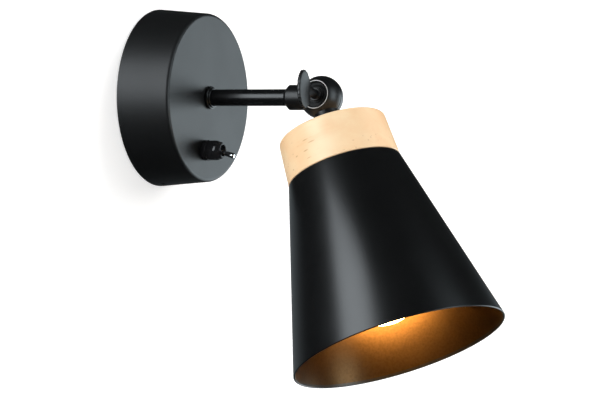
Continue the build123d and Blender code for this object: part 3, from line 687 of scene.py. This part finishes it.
class LAMP_OT_thumb_screw(bpy.types.Operator):
    """Draws the cast thumb-screw: a shaft, a shoulder and a stem that flattens into a domed oval plate"""

    bl_idname = "lamp.thumb_screw"
    bl_label = "Thumb-screw"

    def execute(self, context):
        screw = context.scene.lamp_thumb_screw
        half_height, half_width = screw.plate_height / 2, screw.plate_width / 2
        half_thick, half_rim = screw.plate_thick / 2, screw.plate_rim / 2
        root = screw.plate_at - half_width
        soft, stem = screw.corner, screw.stem_radius
        # The stem flattens into the plate: each place, and its width and thickness there in stem radii.
        flattening = [
            (screw.stem_end, 1.02, 0.96),
            ((screw.stem_end + root) / 2, 1.14, 0.78),
            (root, 1.34, 0.58),
            (root + 1.6 * MM, 1.56, 0.44),
            (root + 3.4 * MM, 1.72, 0.33),
            (root + 5.4 * MM, 1.60, 0.26),
        ]
        shaft = turn("thumb_screw_cast", [
            (POLE, -screw.thread_end),
            (screw.thread_radius - 2 * soft, -screw.thread_end),
            (screw.thread_radius, 2 * soft - screw.thread_end),
            (screw.thread_radius, screw.shoulder_at),
            *arc(screw.shoulder_radius - soft, screw.shoulder_at + soft, soft, -90, 0, 3),
            *arc(screw.shoulder_radius - soft, screw.shoulder_end - soft, soft, 0, 90, 3),
            (stem + soft, screw.shoulder_end),
            (stem, screw.shoulder_end + soft),
            (stem, screw.stem_end - screw.stem_round),
            *[(stem * wide, stem * thick, place) for place, wide, thick in flattening],
            (POLE, POLE, root + screw.tongue),
        ], segments=48)
        edge = screw.plate_edge
        dome_r, dome = half_height - edge, half_thick - half_rim
        angles = [radians(angle) for angle in range(15, 90, 15)]
        domed = [(dome_r * sin(angle), half_rim + dome * cos(angle)) for angle in angles]
        front = [(POLE, half_thick), *domed, *arc(half_height - edge, half_rim - edge, edge, 90, 0, 5)]
        back = [(radius, -height) for radius, height in reversed(front)]
        plate = turn("plate", front + back, segments=96)
        bpy.ops.object.mode_set(mode="EDIT")
        bpy.ops.mesh.select_all(action="SELECT")
        bpy.ops.transform.resize(value=(1, half_width / half_height, 1), center_override=(0, 0, 0))
        bpy.ops.object.mode_set(mode="OBJECT")
        upright = Matrix.Rotation(radians(90), 4, "X")
        plate.matrix_world = Matrix.Translation((0, 0, screw.plate_at)) @ upright
        cast = joined(shaft, plate)
        turned_by = Matrix.Rotation(screw.turned_by, 4, "Z")
        paint(cast, finish("cast_black"))
        hand_over(cast, ON_THUMB_SCREW @ turned_by, "thumb_screw", "black_enamel", "thumb_screw", smooth=40)
        return {"FINISHED"}


class LAMP_OT_switch(bpy.types.Operator):
    """Turns the switch's barrel nut with its soft lip, and the bat lever on its ball"""

    bl_idname = "lamp.switch"
    bl_label = "Switch"

    def execute(self, context):
        switch = context.scene.lamp_switch
        soft, edge = switch.corner, switch.tip_edge
        bend_at = switch.base + switch.straight
        rise, drop = switch.tip - bend_at, switch.side_radius - switch.tip_radius
        bend_r = (rise ** 2 + drop ** 2) / (2 * drop)
        sweep = degrees(atan(rise / (bend_r - drop)))
        shoulder = arc(switch.side_radius - bend_r, bend_at, bend_r, 0, sweep * switch.shoulder_share, 8)
        barrel = turn("switch_barrel_nut", [
            (switch.bore_radius, switch.base),
            (switch.side_radius - soft, switch.base),
            (switch.side_radius, switch.base + soft),
            *shoulder,
            *arc(switch.tip_radius - edge, switch.tip - edge, edge, 20, 90, 4),
            *arc(switch.mouth_radius + soft, switch.tip - soft, soft, 90, 180, 4),
            (switch.mouth_radius, switch.tip - switch.lip),
            (switch.bore_radius, switch.tip - switch.lip),
            (switch.bore_radius, switch.base),
        ], segments=72)
        hand_over(barrel, ON_SWITCH, "wall_body", "switch_trim", "switch_dress_nut", smooth=40)
        ball, root, tip, end = switch.ball_radius, switch.bat_root, switch.bat_tip, switch.bat_length
        tail_up = sqrt(ball ** 2 - switch.tail_radius ** 2)
        root_up = sqrt(ball ** 2 - root ** 2)
        low = degrees(atan(switch.tail_radius / tail_up)) - 90
        high = 90 - degrees(atan(root / root_up))
        nose = switch.bat_nose
        bat = turn("toggle_bat", [
            (POLE, -switch.tail_length),
            *arc(switch.tail_radius - soft, soft - switch.tail_length, soft, -90, 0, 3),
            *arc(0, 0, ball, low, high, 12),
            (root * switch.waist_share, root_up + switch.waist_at),
            (root, root_up + switch.neck_length),
            (tip, end - switch.bat_end),
            *arc(tip - nose, end - nose, nose, 0, 90, 6),
            (POLE, end),
        ], segments=40)
        place = Matrix.Translation(LEVER_PIVOT) @ Matrix.Rotation(radians(90) + switch.rests_at, 4, "X")
        hand_over(bat, place, "toggle_lever", "chrome", "toggle_lever", smooth=40)
        return {"FINISHED"}


class LAMP_OT_knuckle(bpy.types.Operator):
    """Rounds the edges of the knuckle's halves, and turns the lip round the thumb-screw's recess"""

    bl_idname = "lamp.knuckle"
    bl_label = "Knuckle"

    def execute(self, context):
        edges, lip = context.scene.lamp_soft_edges, context.scene.lamp_knuckle
        cast_black = finish("cast_black")
        fixed = soft_copy("knuckle_arm_half", "knuckle_fixed_half", edges.cast)
        paint(fixed, cast_black)
        hand_over(fixed, Matrix.Identity(4), "wall_body", "black_enamel", "knuckle_arm_half")
        moving = soft_copy("knuckle_head_half", "knuckle_moving_half", edges.cast)
        paint(moving, cast_black)
        soft = lip.lip_width / 4
        inner, outer = lip.recess_radius, lip.recess_radius + lip.lip_width
        foot, crest = lip.flat_at - lip.lip_width, lip.flat_at + lip.lip_rise
        ring = turn("lip", [
            (inner, foot),
            *arc(inner + soft, crest - soft, soft, 180, 90, 3),
            *arc(outer - soft, crest - soft, soft, 90, 0, 3),
            (outer, foot),
            (inner, foot),
        ], segments=96)
        ring.matrix_world = ON_THUMB_SCREW
        recess = finish("recess")
        paint(frame["nodes"]["clamp_washer"], recess)
        moving.data.materials.append(recess)
        to_screw = ON_THUMB_SCREW.inverted()
        for face in moving.data.polygons:
            place = to_screw @ face.center
            if 0 < place.z < lip.flat_at - MERGE and place.xy.length < lip.recess_radius + MERGE:
                face.material_index = len(moving.data.materials) - 1
        moving = joined(moving, ring)
        hand_over(moving, Matrix.Identity(4), "head", "black_enamel", "knuckle_head_half")
        return {"FINISHED"}


class LAMP_OT_soft_edges(bpy.types.Operator):
    """Rounds the edges of the arm's collar, the switch's foot, the shade's ring and the lampholder"""

    bl_idname = "lamp.soft_edges"
    bl_label = "Soft edges"

    def execute(self, context):
        edges = context.scene.lamp_soft_edges
        rows = [
            ("arm_collar", "arm_base_collar", edges.turned, "wall_body", "black_enamel"),
            ("switch_flange", "switch_foot_ring", edges.turned, "wall_body", "switch_trim"),
            ("shade_ring", "shade_finger_ring", edges.moulded, "head", "black_plastic"),
            ("lampholder_body", "lampholder_sleeve", edges.moulded, "head", "porcelain"),
        ]
        for node, name, edge, body, slot in rows:
            hand_over(soft_copy(node, name, edge), Matrix.Identity(4), body, slot, node)
        return {"FINISHED"}


# ---------------------------------------------------------------- studio

def studio_settings():
    return bpy.context.scene.lamp_studio


def soft_light(name, direction, distance, size, power, colour):
    """A rectangular light that looks at the shade from a direction."""
    data = bpy.data.lights.new(name, "AREA")
    data.shape = "RECTANGLE"
    data.size, data.size_y = size
    data.energy = power
    data.color = colour
    light = bpy.data.objects.new(name, data)
    bpy.context.scene.collection.objects.link(light)
    towards = Vector(direction).normalized()
    light.location = mid("shade") + towards * distance
    light.rotation_euler = towards.to_track_quat("Z", "Y").to_euler()
    return light


def aim_camera():
    """Puts the camera at the photograph's viewing angle."""
    settings = studio_settings()
    azimuth, elevation, roll = settings.azimuth, settings.elevation, settings.roll
    back = Vector((sin(azimuth) * cos(elevation), -cos(azimuth) * cos(elevation), sin(elevation)))
    level_right = Vector((cos(azimuth), sin(azimuth), 0))
    level_up = back.cross(level_right)
    right = cos(roll) * level_right + sin(roll) * level_up
    up = -sin(roll) * level_right + cos(roll) * level_up
    data = bpy.data.cameras.new("camera")
    data.sensor_width = 36.0
    data.lens = settings.lens
    data.clip_start, data.clip_end = 0.05, 20.0
    camera = bpy.data.objects.new("camera", data)
    bpy.context.scene.collection.objects.link(camera)
    place = Matrix((right, up, back)).transposed().to_4x4()
    place.translation = settings.slide_right * right + settings.slide_up * up + settings.distance * back
    camera.matrix_world = place
    bpy.context.scene.camera = camera


def light_room():
    """White where the camera looks past the lamp, and a soft room in the light and the reflections."""
    settings = studio_settings()
    world = bpy.data.worlds.new("studio")
    bpy.context.scene.world = world
    world.use_nodes = True
    room = NodeTree(world.node_tree)
    room.tree.nodes.clear()
    direction = room.node("ShaderNodeTexCoord", output="Generated")
    # Each band of the room is a ramp across it, from 0 to 1, with its places and their levels.
    across, inwards, upwards = [0.5 + 0.5 * room.split(direction, axis) for axis in range(3)]
    in_front = room.ramp(1.0 - inwards, (0.48, 0.0), (0.62, 1.0))
    bright_side = room.ramp(across, (0.78, 0.0), (0.91, 1.0))
    low_band = room.ramp(upwards, (0.15, 0.0), (0.40, 1.0), (0.60, 1.0), (0.68, 0.0))
    front_strip = room.ramp(across, (0.34, 0.0), (0.45, 1.0), (0.55, 1.0), (0.66, 0.0))
    tall_band = room.ramp(upwards, (0.14, 0.0), (0.38, 1.0), (0.62, 1.0), (0.86, 0.0))
    past_wall = room.ramp(inwards, (0.62, 0.0), (0.80, 1.0))
    far_side = room.ramp(across, (0.50, 0.0), (0.70, 1.0))
    side_window = settings.gloss_side * bright_side * low_band
    front_window = settings.gloss_front * front_strip * tall_band
    far_window = settings.gloss_far * past_wall * far_side * low_band
    in_gloss = settings.gloss_dark + in_front * (side_window + front_window) + far_window
    gloss_ray = room.node("ShaderNodeLightPath", output="Is Glossy Ray")
    camera_ray = room.node("ShaderNodeLightPath", output="Is Camera Ray")
    level = gloss_ray * in_gloss + (1.0 - gloss_ray) * settings.world_level
    strength = camera_ray + (1.0 - camera_ray) * level
    colour = room.mix(gloss_ray, (1.0, 1.0, 1.0), tuple(settings.gloss_tint))
    background = room.node("ShaderNodeBackground", {}, {"Color": colour, "Strength": strength})
    white = room.node("ShaderNodeBackground", {}, {"Color": (1.0, 1.0, 1.0, 1.0), "Strength": 1.0})
    shown = room.node("ShaderNodeMixShader", {}, {0: camera_ray, 1: background, 2: white})
    output = room.tree.nodes.new("ShaderNodeOutputWorld")
    room.tree.links.new(shown.socket, output.inputs["Surface"])


def plain_surface(name, centre, tilt=0.0):
    """A large pale sheet behind or below the lamp, clear from its back and white to the camera."""
    settings = studio_settings()
    bpy.ops.object.select_all(action="DESELECT")
    bpy.ops.mesh.primitive_plane_add(size=settings.backdrop_size, location=centre, rotation=(tilt, 0, 0))
    sheet = bpy.context.object
    sheet.name = name
    sheet.visible_glossy = False
    bpy.ops.object.transform_apply(location=True, rotation=True, scale=True)
    pale = Finish(name, Roughness=0.9, Specular_IOR_Level=0.1)
    pale.shader.inputs["Base Color"].default_value = (*settings.backdrop, 1.0)
    camera_ray = pale.node("ShaderNodeLightPath", output="Is Camera Ray")
    shine = settings.backdrop_glow * camera_ray
    glow = pale.node("ShaderNodeEmission", {}, {"Color": (1, 1, 1, 1), "Strength": shine})
    lit = pale.node("ShaderNodeAddShader", {}, {0: Signal(pale, pale.shader.outputs[0]), 1: glow})
    behind = pale.node("ShaderNodeNewGeometry", output="Backfacing")
    clear = pale.node("ShaderNodeBsdfTransparent")
    shown = pale.node("ShaderNodeMixShader", {}, {0: behind, 1: lit, 2: clear})
    output = pale.tree.nodes["Material Output"]
    pale.tree.links.new(shown.socket, output.inputs["Surface"])
    paint(sheet, pale.material)
    return sheet


class LAMP_OT_studio(bpy.types.Operator):
    """Sets up the camera, the wall, the floor and the lights"""

    bl_idname = "lamp.studio"
    bl_label = "Studio"

    def execute(self, context):
        settings = studio_settings()
        context.scene.view_settings.view_transform = "Standard"
        aim_camera()
        light_room()
        wall = plain_surface("wall", (0, settings.wall_gap, 0), radians(90))
        wall.visible_shadow = False
        plain_surface("floor", (0, 0, settings.floor_height))
        key = soft_light("key", direction=(0.62, -0.62, 0.62), distance=2.0, size=(1.4, 1.4),
                         power=settings.key_power, colour=(1.0, 0.985, 0.96))
        key.visible_glossy = False
        soft_light("side", direction=(-0.86, 0.35, 0.22), distance=1.5, size=(0.85, 1.2),
                   power=settings.side_power, colour=(0.88, 0.95, 1.0))
        return {"FINISHED"}


# ---------------------------------------------------------------- panel and registration

class LAMP_PT_build(bpy.types.Panel):
    """Lists the lamp's pieces"""

    bl_label = "Reading Lamp"
    bl_idname = "LAMP_PT_build"
    bl_space_type = "VIEW_3D"
    bl_region_type = "UI"
    bl_category = "Reading Lamp"

    def draw(self, context):
        for operator in OPERATORS:
            self.layout.operator(operator.bl_idname)


SETTINGS = {
    "lamp_finishes": LampFinishSettings,
    "lamp_shade": LampShadeSettings,
    "lamp_thumb_screw": LampThumbScrewSettings,
    "lamp_switch": LampSwitchSettings,
    "lamp_soft_edges": LampSoftEdgeSettings,
    "lamp_knuckle": LampKnuckleSettings,
    "lamp_studio": LampStudioSettings,
}
OPERATORS = [LAMP_OT_studio, LAMP_OT_finish_frame, LAMP_OT_shade, LAMP_OT_thumb_screw, LAMP_OT_switch,
             LAMP_OT_knuckle, LAMP_OT_soft_edges]
CLASSES = [*SETTINGS.values(), *OPERATORS, LAMP_PT_build]


def register():
    for cls in CLASSES:
        bpy.utils.register_class(cls)
    for name, group in SETTINGS.items():
        setattr(bpy.types.Scene, name, PointerProperty(type=group))


def unregister():
    for name in SETTINGS:
        delattr(bpy.types.Scene, name)
    for cls in reversed(CLASSES):
        bpy.utils.unregister_class(cls)


def main():
    register()
    for operator in OPERATORS:
        group, name = operator.bl_idname.split(".")
        getattr(getattr(bpy.ops, group), name)()


if __name__ == "__main__":
    main()
